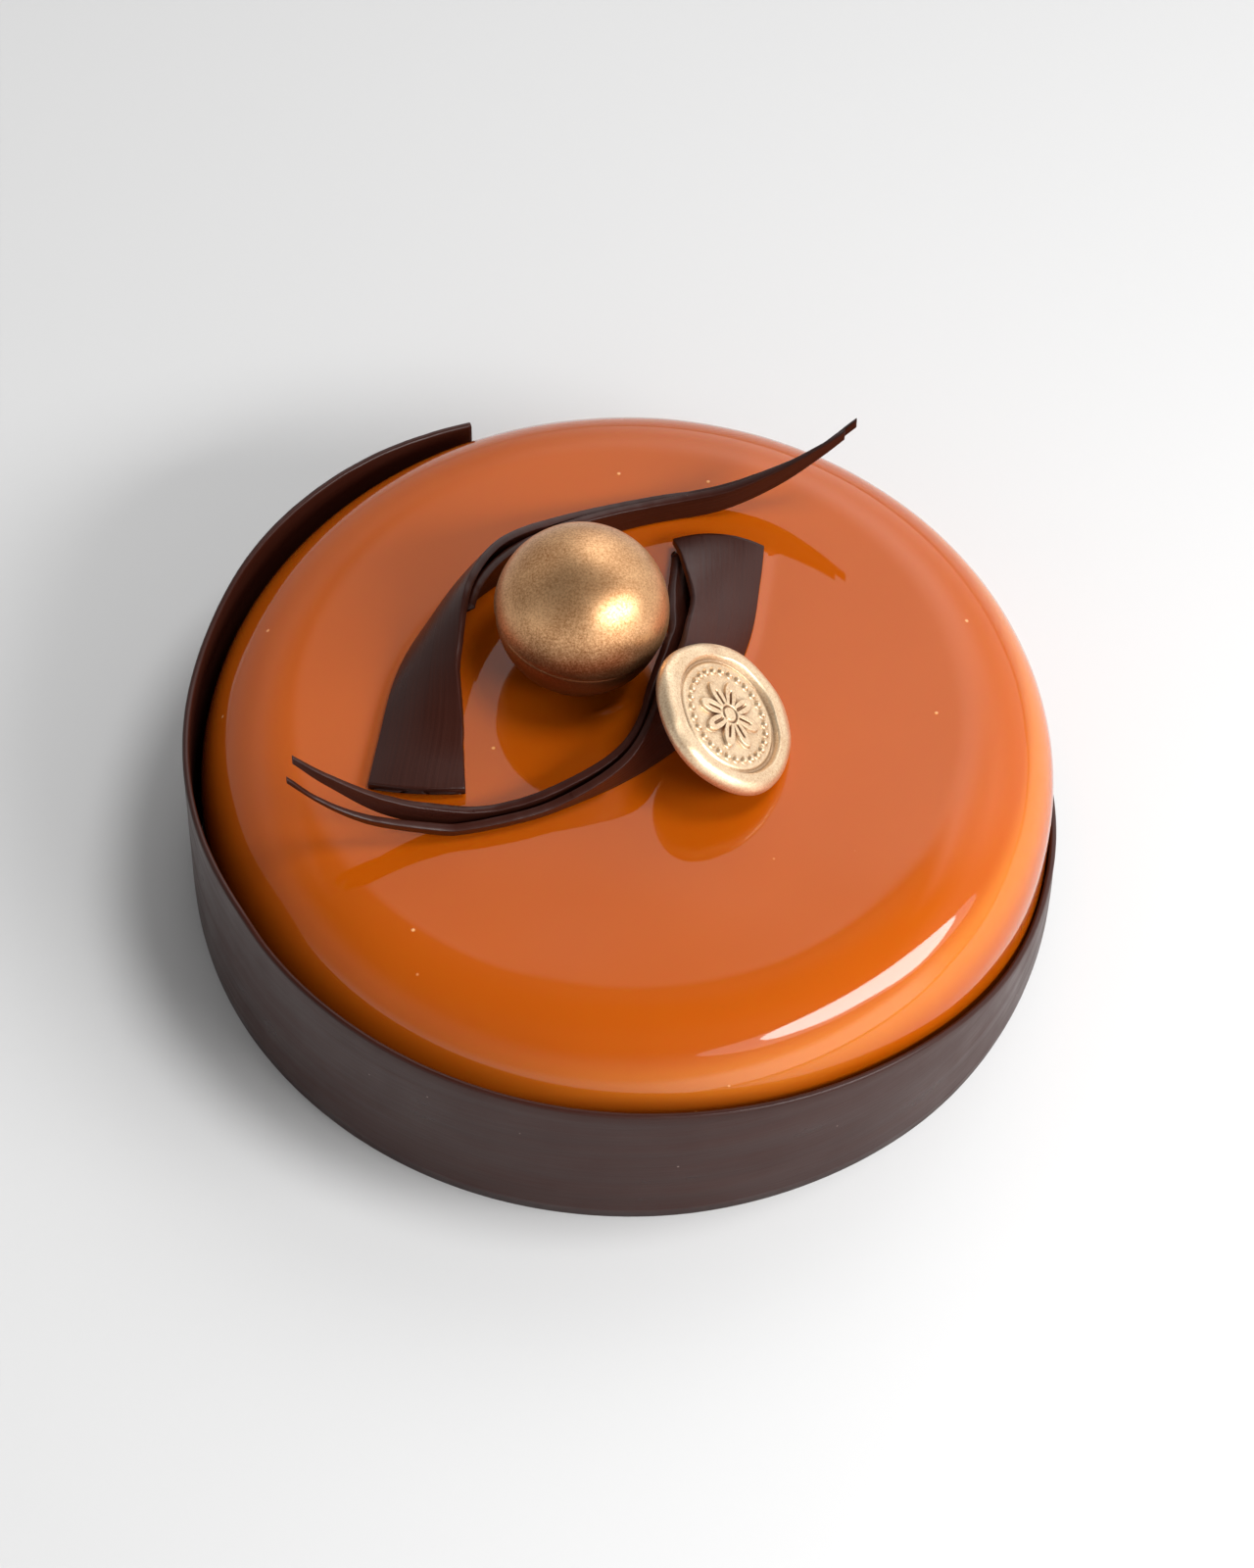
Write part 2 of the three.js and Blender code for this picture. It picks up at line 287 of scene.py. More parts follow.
def poured_caramel_mirror_glaze():
    """Gelatine and caramel glaze, poured warm: a deep, wet, level gloss with a few tiny bubbles."""
    material, tree, output = new_material("caramel_mirror_glaze_poured")
    place = node(tree, "ShaderNodeTexCoord").outputs["Object"]
    x, y, z = node(tree, "ShaderNodeSeparateXYZ", (place,)).outputs

    # Slow clouds in the colour, 45 mm across.
    cloud = node(tree, "ShaderNodeTexNoise", {"Vector": place, "Scale": 1 / (45 * MM), "Detail": 3})
    body = node(
        tree,
        "ShaderNodeMix",
        {"Factor": cloud.outputs["Fac"], "A": linear("#a64903"), "B": linear("#af5006")},
        data_type="RGBA",
    )

    # Over the shoulder, 34 to 48 mm up, a paler band is painted in, most at the right on the key light's
    # side: a painted reflection of the bright low front.
    above = node(tree, "ShaderNodeMapRange", (z, 48 * MM, 44 * MM, 0, 1), interpolation_type="SMOOTHSTEP")
    below = node(tree, "ShaderNodeMapRange", (z, 42 * MM, 34 * MM, 1, 0), interpolation_type="SMOOTHSTEP")
    band = node(tree, "ShaderNodeMath", (above.outputs[0], below.outputs[0]), operation="MULTIPLY")
    rightward = node(
        tree, "ShaderNodeMapRange", (x, -60 * MM, 50 * MM, 0.04, 0.34), interpolation_type="SMOOTHSTEP"
    )
    painted_reflection = node(tree, "ShaderNodeMath", (band.outputs[0], rightward.outputs[0]), operation="MULTIPLY")
    with_painted_reflection = node(
        tree,
        "ShaderNodeMix",
        {"Factor": painted_reflection.outputs[0], "A": body.outputs["Result"], "B": linear("#d98a35")},
        data_type="RGBA",
    )

    # Behind the rim of the collar, where the collar shades it, the glaze is painted dark: painted shade.
    # To the right the rim falls away as the square of the distance, by 21 mm at 85 mm.
    falls = 2.9  # for each metre squared
    aside = node(tree, "ShaderNodeMath", (x, x), operation="MULTIPLY")
    level = node(tree, "ShaderNodeMath", (aside.outputs[0], falls, z), operation="MULTIPLY_ADD")
    shaded_behind_rim = node(tree, "ShaderNodeMapRange", (level.outputs[0], 41 * MM, 36 * MM, 0, 0.8))
    forward = node(tree, "ShaderNodeMapRange", (y, 0, -60 * MM, 0, 1))
    amount = node(tree, "ShaderNodeMath", (shaded_behind_rim.outputs[0], forward.outputs[0]), operation="MULTIPLY")
    edge = node(
        tree,
        "ShaderNodeMix",
        {"Factor": amount.outputs[0], "A": with_painted_reflection.outputs["Result"], "B": linear("#5e2402")},
        data_type="RGBA",
    )

    # Bubbles about 9 mm apart, 0.5 mm across at their core, in four cells of ten.
    apart, core, rim = 9, 0.225, 0.54
    cells = node(tree, "ShaderNodeTexVoronoi", {"Vector": place, "Scale": 1 / (apart * MM)})
    dot = node(tree, "ShaderNodeMapRange", (cells.outputs["Distance"], rim / apart, core / apart, 0, 1))
    draw = node(tree, "ShaderNodeSeparateColor", {"Color": cells.outputs["Color"]})
    some = node(tree, "ShaderNodeMath", (draw.outputs[0], 0.6), operation="GREATER_THAN")
    bubble = node(tree, "ShaderNodeMath", (dot.outputs[0], some.outputs[0]), operation="MULTIPLY")
    colour = node(
        tree,
        "ShaderNodeMix",
        {"Factor": bubble.outputs[0], "A": edge.outputs["Result"], "B": linear("#e0a064")},
        data_type="RGBA",
    )
    bump = node(
        tree, "ShaderNodeBump", {"Height": bubble.outputs[0], "Strength": 0.5, "Distance": 0.15 * MM}
    )
    shader = node(
        tree,
        "ShaderNodeBsdfPrincipled",
        {
            "Base Color": colour.outputs["Result"],
            "Roughness": 0.045,
            "IOR": 1.46,
            "Subsurface Weight": 0.25,
            "Subsurface Radius": (1.0, 0.3, 0.08),
            "Subsurface Scale": 4 * MM,
            "Normal": bump.outputs["Normal"],
        },
    )
    tree.links.new(shader.outputs[0], output.inputs["Surface"])
    return material


def tempered_dark_chocolate(name, streak):
    """Tempered couverture spread on acetate: a satin skin with faint streaks of the spreading."""
    material, tree, output = new_material(name)
    marks = node(tree, "ShaderNodeUVMap", uv_map="surface").outputs["UV"]
    place = node(tree, "ShaderNodeTexCoord").outputs["Object"]

    # Streaks run along the strip: 70 mm long and streak mm wide.
    stretch = (1 / (70 * MM), 1 / (streak * MM), 1)
    stretched = node(tree, "ShaderNodeMapping", {"Vector": marks, "Scale": stretch})
    spreading = {"Vector": stretched.outputs[0], "Scale": 1, "Detail": 5, "Roughness": 0.6}
    lines = node(tree, "ShaderNodeTexNoise", spreading).outputs["Fac"]
    body = node(
        tree,
        "ShaderNodeMix",
        {"Factor": lines, "A": linear("#250d08"), "B": linear("#3b1a11")},
        data_type="RGBA",
    )

    # Stray cocoa-butter specks about 7 mm apart, 0.3 mm across at their core, in two cells of ten.
    apart, core, rim = 7, 0.14, 0.315
    cells = node(tree, "ShaderNodeTexVoronoi", {"Vector": place, "Scale": 1 / (apart * MM)})
    dot = node(tree, "ShaderNodeMapRange", (cells.outputs["Distance"], rim / apart, core / apart, 0, 0.6))
    draw = node(tree, "ShaderNodeSeparateColor", {"Color": cells.outputs["Color"]})
    some = node(tree, "ShaderNodeMath", (draw.outputs[0], 0.8), operation="GREATER_THAN")
    speck = node(tree, "ShaderNodeMath", (dot.outputs[0], some.outputs[0]), operation="MULTIPLY")
    colour = node(
        tree,
        "ShaderNodeMix",
        {"Factor": speck.outputs[0], "A": body.outputs["Result"], "B": linear("#a58f86")},
        data_type="RGBA",
    )

    # The satin varies with the streaks and in blotches 14 mm across.
    blotch = node(tree, "ShaderNodeTexNoise", {"Vector": place, "Scale": 1 / (14 * MM), "Detail": 4})
    satin = node(tree, "ShaderNodeMath", (lines, blotch.outputs["Fac"]), operation="ADD")
    gloss = node(tree, "ShaderNodeMapRange", (satin.outputs[0], 0.7, 1.3, 0.26, 0.46))

    # The cocoa's grain is finer than 0.03 mm, so it is drawn 0.5 mm coarse and very faint.
    grain = node(tree, "ShaderNodeTexNoise", {"Vector": place, "Scale": 1 / (0.5 * MM), "Detail": 2})
    fine = node(
        tree, "ShaderNodeBump", {"Height": grain.outputs["Fac"], "Strength": 0.08, "Distance": 0.1 * MM}
    )
    bump = node(
        tree,
        "ShaderNodeBump",
        {"Height": lines, "Strength": 0.35, "Distance": 0.25 * MM, "Normal": fine.outputs["Normal"]},
    )
    shader = node(
        tree,
        "ShaderNodeBsdfPrincipled",
        {
            "Base Color": colour.outputs["Result"],
            "Roughness": gloss.outputs[0],
            "IOR": 1.47,
            "Specular IOR Level": 0.3,
            "Normal": bump.outputs["Normal"],
        },
    )
    tree.links.new(shader.outputs[0], output.inputs["Surface"])
    return material


def gold_lustre(name, bright, shade, roughness, grit, shaded_round=None):
    """Gold lustre dust on chocolate: a satin metal with a fine grit, browner where it lies thin.

    The dust is finer than 0.1 mm, so its grit is drawn grit mm coarse to show. Its corners get painted
    shade, and its last argument is the centre of a ball whose low front is painted darker: painted shade.
    """
    material, tree, output = new_material(name)
    place = node(tree, "ShaderNodeTexCoord").outputs["Object"]
    dusting = {"Vector": place, "Scale": 1 / (grit * MM), "Detail": 4, "Roughness": 0.7}
    grain = node(tree, "ShaderNodeTexNoise", dusting).outputs["Fac"]
    patch = node(tree, "ShaderNodeTexNoise", {"Vector": place, "Scale": 1 / (9 * MM), "Detail": 3})
    cover = node(tree, "ShaderNodeMath", (patch.outputs["Fac"], 0.4, grain), operation="MULTIPLY_ADD")
    thick = node(tree, "ShaderNodeMapRange", (cover.outputs[0], 0.45, 0.85, 0, 1))
    colour = node(
        tree,
        "ShaderNodeMix",
        {"Factor": thick.outputs[0], "A": linear(shade), "B": linear(bright)},
        data_type="RGBA",
    )

    # Painted shade: within 1.2 mm of a corner the colour goes dark brown, the more closed in the darker.
    corners = node(tree, "ShaderNodeAmbientOcclusion", {"Distance": 1.2 * MM}, samples=8, only_local=True)
    corner_shade = node(tree, "ShaderNodeMapRange", (corners.outputs["AO"], 0.45, 0.97, 0.95, 0))
    dusted_and_shaded = node(
        tree,
        "ShaderNodeMix",
        {"Factor": corner_shade.outputs[0], "A": colour.outputs["Result"], "B": linear("#6a3f1f")},
        data_type="RGBA",
    )
    if shaded_round:
        # Painted shade: from the middle to 12 mm low and front, broken into specks by the grain, the colour
        # goes dark brown.
        centre = tuple(c * MM for c in shaded_round)
        low_and_front = (0, -0.7, -0.7)
        offset = node(tree, "ShaderNodeVectorMath", (place, centre), operation="SUBTRACT")
        turned_away = node(
            tree, "ShaderNodeVectorMath", (offset.outputs[0], low_and_front), operation="DOT_PRODUCT"
        )
        speckled = (thick.outputs[0], -4 * MM, turned_away.outputs["Value"])
        away = node(tree, "ShaderNodeMath", speckled, operation="MULTIPLY_ADD")
        painted_low_shade = node(
            tree,
            "ShaderNodeMapRange",
            (away.outputs[0], -2 * MM, 12 * MM, 0, 0.9),
            interpolation_type="SMOOTHSTEP",
        )
        dusted_and_shaded = node(
            tree,
            "ShaderNodeMix",
            {"Factor": painted_low_shade.outputs[0], "A": dusted_and_shaded.outputs["Result"], "B": linear("#5c2e12")},
            data_type="RGBA",
        )
    gloss = node(tree, "ShaderNodeMapRange", (grain, 0.3, 0.7, roughness + 0.06, roughness - 0.04))
    bump = node(tree, "ShaderNodeBump", {"Height": grain, "Strength": 0.25, "Distance": 0.12 * MM})
    shader = node(
        tree,
        "ShaderNodeBsdfPrincipled",
        {
            "Base Color": dusted_and_shaded.outputs["Result"],
            "Metallic": 0.85,
            "Roughness": gloss.outputs[0],
            "Normal": bump.outputs["Normal"],
        },
    )
    tree.links.new(shader.outputs[0], output.inputs["Surface"])
    return material


# ---- chocolate curls ------------------------------------------------------------------------


def leaf_frame(curl, side, t):
    """Where one leaf of a curl stands at t: its foot, its up and outward directions, and sizes."""
    own = curl["outer"] if side > 0 else curl["inner"]
    stations = [(*row, lean) for row, lean in zip(CURL_PATH, curl["lean"])]
    if side < 0:
        stations = [*own["wide_half"], *stations[len(own["wide_half"]) :]]
    foot, slope = through([row[:3] for row in stations], t)
    (breadth, tilt), _ = through([row[3:] for row in stations], t)
    flat = np.array((slope[0], slope[1], 0)) / hypot(slope[0], slope[1])
    inward = np.array((flat[1], -flat[0], 0))
    narrow = ease(*NARROWING, t)
    if side > 0:
        angle = radians(tilt - own["splay"] * narrow)
        dropped = narrow * (1 - ease(*DROP_FADES, t))
    else:
        angle = radians(tilt)
        dropped = 1 - ease(own["drop_end"] - DROP_FADE, own["drop_end"], t)
    rise = np.array((0, 0, cos(angle))) + inward * sin(angle)
    outward = np.array((0, 0, sin(angle))) - inward * cos(angle)
    body, tip = LEAF_THICKNESS
    thickness = body + (tip - body) * ease(*THINNING, t)
    near, far = side * GAP / 2, side * (GAP / 2 + thickness)
    if side > 0:
        foot[0] += curl["shift"] * (1 - ease(*SHIFT_FADES, t))
    foot[0] += own["reach"] * ease(*REACHING, t)
    foot[2] -= own["droop"] * ease(*DROOPING, t)
    # The outer leaf is lifted until it clears the glaze. The inner one lies under it, and starts as
    # much further up the slope instead.
    dip = GAP - min(near * outward[2], far * outward[2]) - foot[2]
    low = 0
    if side > 0:
        foot[2] += max(0, dip)
    else:
        low = max(0, dip / rise[2])
    high = max(breadth - min(own["drop"] * dropped, 0.45 * breadth), low + 0.6)
    slide = flat * max(0, 1 - (t - own["start"]) / CUT_STRETCH)
    return foot, rise, outward, low, high, near, far, slide


def leaf(node_name, curl, side, material):
    """One leaf: a thin rounded strip that follows the path, with a slightly ragged edge."""
    steps, across, rounding = 220, 12, 3
    own = curl["outer"] if side > 0 else curl["inner"]
    turn = Matrix.Rotation(radians(curl["turn"]), 3, "Z")
    seed = 3 if side > 0 else 8
    rings, marks = [], []
    along, last = 0, None
    for i in range(steps + 1):
        t = own["start"] + (own["end"] - own["start"]) * i / steps
        foot, rise, outward, low, high, near, far, slide = leaf_frame(curl, side, t)
        along += 0 if last is None else float(np.linalg.norm(foot - last))
        last = foot
        # The edge is ragged by 0.12 mm over 3 mm and by 0.06 mm over 0.8 mm.
        high += 0.12 * rough(along / 3, 0, seed) + 0.06 * rough(along / 0.8, 5, seed)
        middle, half = (near + far) / 2, abs(far - near) / 2
        half *= 1 + 0.06 * rough(along / 9, 2, seed)
        corner = min(LEAF_CORNER, 0.8 * half, (high - low) / 3)
        section = []
        for off, begin, end, facing in ((-half, low, high, -90), (half, high, low, 90)):
            inset = corner if end > begin else -corner
            for j in range(across + 1):
                section.append((begin + inset + (end - begin - 2 * inset) * j / across, off))
            for quarter in (0, 90):
                for j in range(1, rounding + 1):
                    a = radians(facing + quarter + 90 * j / (rounding + 1))
                    centre_off = (off - corner * off / half) * (1 if quarter == 0 else -1)
                    section.append((end - inset + corner * cos(a), centre_off + corner * sin(a)))
        bow = CUP * (1 - ease(*CUP_FADES, t))
        ring, row = [], []
        for up, off in section:
            share = min(max((up - low) / (high - low), 0), 1)
            bulge = 4 * share * (1 - share)
            wave = 0.1 * rough(along / 12, up / 6, seed + 1) + bow * bulge
            cut = END_CUT["slant"] * up - END_CUT["bulge"] * bulge
            x, y, z = turn @ Vector(foot + rise * up + slide * cut + outward * (middle + off + wave))
            ring.append((x + curl["centre"][0], y + curl["centre"][1], z + CAKE_HEIGHT))
            row.append((along, up))
        rings.append(ring)
        marks.append(row)
    piece = skin(f"piece_{node_name}", rings, marks)
    finish_piece(piece, material, node_name)


def curl_feet():
    """Points along the feet of the curls, where they stand in the glaze, in mm."""
    last_stand, clear = 0.68, 0.8  # where the tips begin to rise, and how high counts as clear
    points = []
    for curl in CURLS.values():
        turn = Matrix.Rotation(radians(curl["turn"]), 3, "Z")
        for t in np.linspace(curl["outer"]["start"], last_stand, 90):
            foot, _, outward, _, _, near, far, _ = leaf_frame(curl, 1, t)
            if foot[2] < clear:
                x, y, _ = turn @ Vector(foot + outward * (near + far) / 2)
                points.append((x + curl["centre"][0], y + curl["centre"][1]))
    return np.array(points)


# ---- glazed cake ----------------------------------------------------------------------------


def glazed_cake(material):
    """The glazed cake: a level top that climbs a little against what stands in it."""
    feet = curl_feet()
    climb = {"height": 0.35, "width": 1.6}  # of the glaze against the curls
    cushion = {"height": 0.9, "inside": 3.5, "outside": 6.5, "hollow": 4}  # under the sphere
    # A short fold in the glaze where the sphere was set down.
    fold = {"distance": 14.6, "angle": -61, "span": 15, "height": 0.75, "width": 0.85}
    flat = CAKE_RADIUS - TOP_ROUNDING  # radius of the level top
    level_within = (70, 86)  # radii over which the top's slow waves die out
    wall = 90  # radius outside of which a point is on the wall
    bare_wall = (55, 62, 104, 110)  # degrees, where the collar is away and the foot shows

    def raised(x, y):
        away = sqrt(np.min(np.sum((feet - (x, y)) ** 2, axis=1)))
        rise = climb["height"] * np.exp(-((away / climb["width"]) ** 2))
        dx, dy = x - SPHERE_CENTRE[0], y - SPHERE_CENTRE[1]
        distance, angle = hypot(dx, dy), degrees(atan2(dy, dx))
        pushed = 1 - ease(cushion["inside"], cushion["outside"], distance)
        rise += cushion["height"] * pushed * min(1, distance / cushion["hollow"]) ** 2
        beside = (angle - fold["angle"]) / fold["span"]
        across = (distance - fold["distance"]) / fold["width"]
        rise += fold["height"] * np.exp(-(across**2) - beside * beside)
        return rise + 0.05 * rough(x / 26, y / 26, 2) * (1 - ease(*level_within, hypot(x, y)))

    def shape(point, angle):
        x, y, z = point
        reach = hypot(x, y)
        if z > CAKE_HEIGHT - 0.05 and reach < flat:
            return (x, y, z + raised(x, y))
        if reach <= wall:
            return point
        # On the open side the glaze has run down and thickened into a wavy foot.
        turn = degrees(angle) % 360
        open_side = ease(*bare_wall[:2], turn) * (1 - ease(*bare_wall[2:], turn))
        ripple = 0.5 + 0.5 * rough(angle * 14, 0, 5)
        bead = np.exp(-(((z - 1.6) / (1.2 + 1.6 * ripple)) ** 2))
        bulge = open_side * (0.5 + 0.7 * ripple) * bead + 0.12 * rough(angle * 5, z / 14, 6)
        scale = (reach + bulge) / reach
        return (x * scale, y * scale, z)

    profile = [(0.01, 0), (60, 0), (wall, 0)]
    profile += arc(FOOT_ROUNDING, (CAKE_RADIUS - FOOT_ROUNDING, FOOT_ROUNDING), -90, 0, 6)
    profile += [(CAKE_RADIUS, z) for z in np.linspace(3, CAKE_HEIGHT - TOP_ROUNDING - 1.5, 20)]
    profile += arc(TOP_ROUNDING, (flat, CAKE_HEIGHT - TOP_ROUNDING), 0, 90, 28)
    profile += [(r, CAKE_HEIGHT) for r in np.linspace(flat - 1.2, 0.01, 120)]
    piece = turned("cake_with_glaze", profile, 400, shape)
    finish_piece(piece, material, "glazed_cake")


# ---- collar ---------------------------------------------------------------------------------


def chocolate_collar(material):
    """The chocolate band: a thin wall with a softly rounded rim, square at its tall end."""
    steps, down = 520, 14
    pulled_in = (310, 350)  # degrees over which it closes in
    half = COLLAR_THICKNESS / 2
    rings, marks = [], []
    for i in range(steps + 1):
        (turn, height), _ = through(COLLAR_RIM, i / steps)
        outer = COLLAR_RADIUS - COLLAR_PULL_IN * ease(*pulled_in, turn)
        angle = radians(turn)
        along = angle * COLLAR_RADIUS
        # The rim is ragged by 0.1 mm over 6 mm and by 0.06 mm over 1.3 mm.
        height += 0.1 * rough(along / 6, 0, 1) + 0.06 * rough(along / 1.3, 0, 2)
        edge = min(half, height / 2.2)
        under = height - edge
        section = [(-half, 0), (-half, 0.3 * height), (-half, 0.7 * height), (-half, under)]
        section += [(half * sin(a), under + edge * cos(a)) for a in np.linspace(-pi / 2, pi / 2, 7)[1:-1]]
        section += [(half, under - under * j / down) for j in range(down + 1)]
        ring, row = [], []
        for off, z in section:
            wave = min(0.12 * rough(along / 30, z / 9, 3), 0.1) if off > 0 else 0
            r = outer - half + off + wave
            ring.append((r * cos(angle), r * sin(angle), max(z, 0)))
            row.append((along, z))
        rings.append(ring)
        marks.append(row)
    piece = skin("collar_band", rings, marks)
    finish_piece(piece, material, "chocolate_collar")


# ---- gold sphere ----------------------------------------------------------------------------


def gold_sphere(material):
    """Two half shells of moulded chocolate: the upper one stands proud along a rough seam."""
    lower = SPHERE_RADIUS - SPHERE_LIP
    pits = (((0.80, -0.36, 0.25), 0.55), ((0.60, -0.66, 0.10), 0.77))  # direction and width
    pit_depth = 0.25
    lean = Matrix.Rotation(radians(SPHERE_LEAN), 3, "Y")

    def shape(point, angle):
        p = Vector(point)
        outward = p.normalized()
        seam = np.exp(-((p.z + 0.25) ** 2) / 0.5)
        r = p.length + seam * (0.1 * rough(angle * 9, 0, 1) + 0.06 * rough(angle * 40, 0, 2) - 0.05)
        r = min(r + 0.03 * rough(p.x / 5, p.y / 5, p.z / 5), SPHERE_RADIUS)
        for where, width in pits:
            away = (outward - Vector(where).normalized()).length * SPHERE_RADIUS
            r -= pit_depth * np.exp(-((away / width) ** 2))
        return tuple(lean @ (outward * r) + Vector(SPHERE_MIDDLE))

    profile = [(max(r, 0.01), z) for r, z in arc(lower, (0, 0), -90, -3, 62)]
    profile += [(lower - 0.25, -0.7), (lower - 0.3, -0.45), (lower + 0.1, -0.3)]
    profile += [(SPHERE_RADIUS - 0.12, -0.12)]
    profile += [(max(r, 0.01), z) for r, z in arc(SPHERE_RADIUS, (0, 0), 0.8, 90, 66)]
    piece = turned("sphere_of_two_shells", profile, 160, shape)
    finish_piece(piece, material, "gold_sphere")


# ---- gold seal ------------------------------------------------------------------------------


def seal_wobble(angle):
    """How far the squeezed-out edge runs past or short of a true circle."""
    return 1 + 0.022 * sin(2 * angle + 0.6) + 0.014 * sin(3 * angle - 1.1) + 0.01 * sin(5 * angle)


def rosette(r, angle):
    """Relief of the field, 0 to 1: an eight-petalled flower inside a ring of beads."""
    # Radii in mm: of the heart, of the groove round it, and of the petals at their clefts and tips.
    heart, groove, cleft, tip = 1.8, 2.4, 2.9, 8.8
    beads, bead_ring, bead_size = 28, 11, 1.05
    reach = cleft + (tip - cleft) * abs(cos(4 * angle)) ** 0.75
    petal = 1 - ease(reach - 0.5, reach, r)
    vein = (1 - ease(0.15, 0.45, abs(sin(4 * angle)) * r * 0.28)) * ease(groove, 3.2, r)
    petal *= 1 - 0.7 * vein * (1 - ease(5.6, 6.6, r))
    button = 1 - ease(1.3, heart, r) - (1 - ease(heart, groove, r)) * ease(1.6, 1.9, r)
    step = 2 * pi / beads
    offset = ((angle + step / 2) % step - step / 2) * bead_ring
    bead = 1 - ease(0.5, bead_size, hypot(offset, r - bead_ring))
    return max(petal + min(button, 0) * 0.8, bead)


def gold_seal(material):
    """A disc pressed like sealing wax: a thick rolled edge round a sunk field with a rosette."""
    half = SEAL_THICKNESS / 2
    to_place = Vector((0, 0, 1)).rotation_difference(Vector(SEAL_NORMAL).normalized()).to_matrix()
    centre = Vector(SEAL_CENTRE)
    floor = half - SEAL_DEPTH
    relief = 0.85  # height of the rosette
    crown = SEAL_RADIUS - half  # radius at which the roll is highest
    # Dents in the roll: where in radians, how wide and how deep.
    dents = ((1.75, 0.16, 0.55), (0.35, 0.22, 0.4), (-2.5, 0.2, 0.35), (2.9, 0.12, 0.3))

    def shape(point, angle):
        x, y, z = point
        r = hypot(x, y)
        turn = atan2(y, x)
        scale = 1 + (seal_wobble(turn) - 1) * ease(SEAL_FIELD, SEAL_RADIUS, r)
        on_roll = ease(SEAL_FIELD, SEAL_FIELD + 1.4, r)
        if z > 0:
            z += on_roll * (0.22 * rough(3 * cos(turn), 3 * sin(turn), 1) - 0.12)
            inside = 1 - ease(SEAL_RADIUS - 1.4, SEAL_RADIUS, r)
            for at, width, amount in dents:
                off = (turn - at + pi) % (2 * pi) - pi
                z -= on_roll * amount * np.exp(-((off / width) ** 2)) * inside
            if r < SEAL_FIELD - 1.2:
                z += relief * rosette(r, turn) + 0.03 * rough(x / 0.6, y / 0.6, 3)
        return tuple(to_place @ Vector((x * scale, y * scale, z)) + centre)

    profile = [(r, -half) for r in np.linspace(0.01, crown - 0.5, 14)]
    profile += arc(half, (crown, 0), -90, 90, 26)
    # From the roll's crown down into the groove, up its far side, and over the field.
    profile += [(r, half - 0.05 * (crown - r)) for r in np.linspace(crown - 0.3, SEAL_FIELD + 0.9, 6)]
    profile += [(SEAL_FIELD + 0.6, half - 0.35), (SEAL_FIELD + 0.25, half - 0.9), (SEAL_FIELD, floor - 0.5)]
    profile += [(SEAL_FIELD - 0.35, floor - 0.7), (SEAL_FIELD - 0.8, floor - 0.45)]
    profile += [(SEAL_FIELD - 1.1, floor)]
    profile += [(r, floor) for r in np.linspace(SEAL_FIELD - 1.4, 0.01, 76)]
    piece = turned("seal_disc", profile, 360, shape)
    finish_piece(piece, material, "gold_seal")


# ---- camera, floor and light ----------------------------------------------------------------


def add_camera():
    """The camera of the photograph: 54.7 degrees above the horizon, turned a little on its axis."""
    place = Vector((0, -695.6, 1007.1)) * MM
    pitch, roll = radians(54.71), radians(-0.96)
    forward = Vector((0, cos(pitch), -sin(pitch)))
    right = Vector((1, 0, 0))
    down = forward.cross(right)
    across = right * cos(roll) + down * sin(roll)
    below = down * cos(roll) - right * sin(roll)
    data = bpy.data.cameras.new("camera")
    data.sensor_fit = "VERTICAL"
    data.sensor_height = 36
    data.lens = 118.93
    data.clip_end = 20
    camera = bpy.data.objects.new("camera", data)
    turn = Matrix((across, -below, -forward)).transposed().to_4x4()
    camera.matrix_world = Matrix.Translation(place) @ turn
    bpy.context.scene.collection.objects.link(camera)
    bpy.context.scene.camera = camera


def add_floor():
    """A plain pale sweep."""
    half = 6  # of its width, in metres
    mesh = bpy.data.meshes.new("floor")
    corners = [(-half, -half, 0), (half, -half, 0), (half, half, 0), (-half, half, 0)]
    mesh.from_pydata(corners, [], [(0, 1, 2, 3)])
    floor = bpy.data.objects.new("floor", mesh)
    bpy.context.scene.collection.objects.link(floor)
    material, tree, output = new_material("white_paper_matt")
    shader = node(tree, "ShaderNodeBsdfPrincipled", {"Base Color": linear("#d0d0d0"), "Roughness": 0.8})
    tree.links.new(shader.outputs[0], output.inputs["Surface"])
    mesh.materials.append(material)


def add_softbox(name, direction, distance, size, power, along=(1, 0, 0)):
    """An oval softbox that faces the cake from a direction, with its length along another."""
    data = bpy.data.lights.new(name, "AREA")
    data.shape = "ELLIPSE"
    data.size, data.size_y = size
    data.energy = power
    light = bpy.data.objects.new(name, data)
    aim = Vector(direction).normalized()
    across = aim.cross(Vector(along)).normalized()
    turn = Matrix((across.cross(aim), across, aim)).transposed().to_4x4()
    middle_of_cake = Vector((0, 0, 40)) * MM
    light.matrix_world = Matrix.Translation(middle_of_cake + aim * distance) @ turn
    bpy.context.scene.collection.objects.link(light)
    return light


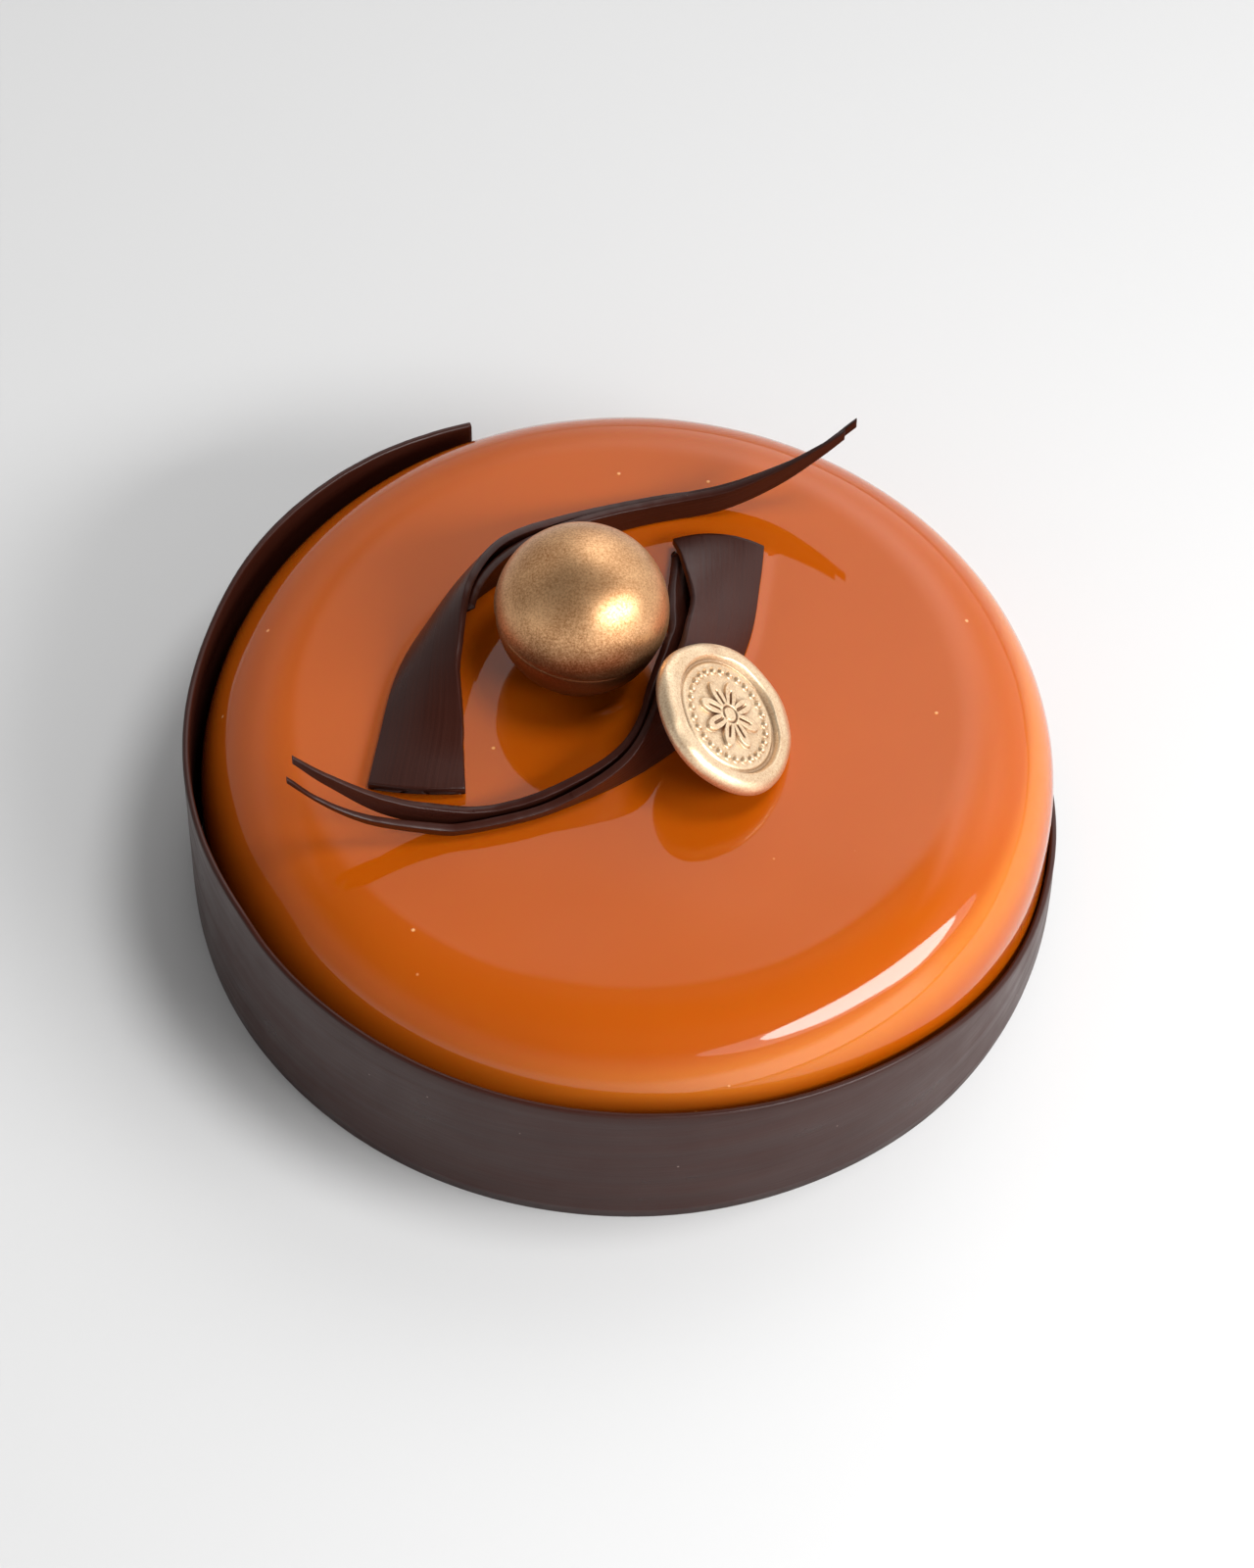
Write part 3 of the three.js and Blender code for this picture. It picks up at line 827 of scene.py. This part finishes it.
def add_light():
    """A studio: a bright wall behind, brighter to the right, a bright low front and a dark ceiling."""
    # Each part of the room is a product of ramps over a component of the direction that is looked
    # in: the component, its two limits, and the strength at each.
    wall_behind = (
        ("Y", 0.1, 0.45, 0, 1),
        ("Z", 0.815, 0.865, 1.2, 0.13),
        ("X", -0.2, 0.2, 0.27, 1.65),
        ("X", 0.25, 0.6, 1, 0.5),
        ("Z", 0.3, 0.65, 0.5, 1),
    )
    low_front = (("Y", -0.45, -0.1, 1, 0), ("Z", 0.2, 0.36, 1, 0.08), ("X", -0.1, 0.6, 0.65, 2))
    all_round = (("X", -1, 1, 0.34, 0.6), ("Z", 0.55, 0.8, 1, 0.25))

    world = bpy.data.worlds.new("studio")
    bpy.context.scene.world = world
    world.use_nodes = True
    tree = world.node_tree
    tree.nodes.clear()
    output = tree.nodes.new("ShaderNodeOutputWorld")
    direction = node(tree, "ShaderNodeTexCoord").outputs["Generated"]
    component = node(tree, "ShaderNodeSeparateXYZ", (direction,)).outputs
    strength = 0
    for part in (wall_behind, low_front, all_round):
        product = 1
        for axis, *limits in part:
            values = (component[axis], *limits)
            ramp = node(tree, "ShaderNodeMapRange", values, interpolation_type="SMOOTHSTEP")
            scaled = node(tree, "ShaderNodeMath", (product, ramp.outputs[0]), operation="MULTIPLY")
            product = scaled.outputs[0]
        total = node(tree, "ShaderNodeMath", (strength, product), operation="ADD")
        strength = total.outputs[0]
    sky = node(tree, "ShaderNodeBackground", {"Color": linear("#ffffff"), "Strength": strength})
    tree.links.new(sky.outputs[0], output.inputs["Surface"])

    # The key softbox is long and low at the right front, with softer ends. The light above only
    # fills: it isn't mirrored. Sizes and distances are in metres, and powers in watts.
    long_side = (0.62, 0.5, -0.16)
    add_softbox("softbox_right", (0.73, -0.39, 0.56), 0.95, (0.8, 0.25), 7.2, long_side)
    add_softbox("softbox_right_spill", (0.71, -0.44, 0.54), 0.96, (1.25, 0.26), 1.6, long_side)
    overhead = add_softbox("scrim_overhead", (0.3, 0, 0.95), 1.1, (0.36, 0.36), 5.6)
    overhead.visible_glossy = False
    bpy.context.scene.view_settings.view_transform = "Standard"


# ---- the cake -------------------------------------------------------------------------------

glazed_cake(poured_caramel_mirror_glaze())
chocolate_collar(tempered_dark_chocolate("dark_chocolate_spread_band", streak=4.5))
gold_sphere(gold_lustre("gold_lustre_dust_airbrushed", "#e0b080", "#9a6232", 0.34, 0.5, SPHERE_MIDDLE))
gold_seal(gold_lustre("pale_gold_lustre_dust_brushed", "#f4dcba", "#c9a27a", 0.4, 0.45))

curl_chocolate = tempered_dark_chocolate("dark_chocolate_combed_curls", streak=0.9)
for curl_name, curl_shape in CURLS.items():
    leaf(f"{curl_name}_inner", curl_shape, -1, curl_chocolate)
    leaf(f"{curl_name}_outer", curl_shape, 1, curl_chocolate)

add_camera()
add_floor()
add_light()
